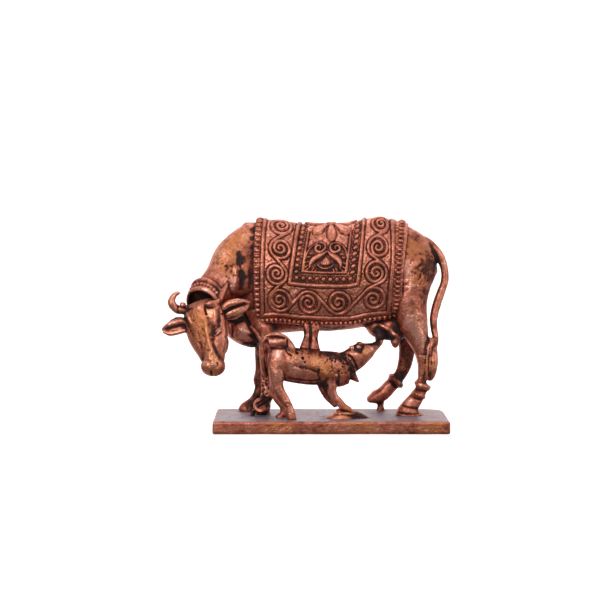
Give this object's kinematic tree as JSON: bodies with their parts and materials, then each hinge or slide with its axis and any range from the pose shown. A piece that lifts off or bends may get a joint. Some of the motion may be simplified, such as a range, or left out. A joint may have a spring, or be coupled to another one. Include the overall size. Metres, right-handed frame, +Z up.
{
  "type": "cow and calf statuette",
  "caption": "Small cast copper figure of a standing cow, head turned to the side, suckling her calf on a flat plate, with a beaded, scrolled saddle blanket.",
  "frame": {"origin": "middle of the plate's underside, which is the face that the figure stands on", "axes": "+X from the cow's head towards her tail along the plate, +Y from the calf's side towards the far side, +Z up"},
  "size_m": [0.0766, 0.0282, 0.0565],
  "materials": {
    "copper": "antique copper, rubbed bright on the high places and dark in the hollows"
  },
  "bodies": {
    "root": {"cow_and_calf_casting": "copper"}
  },
  "joints": []
}
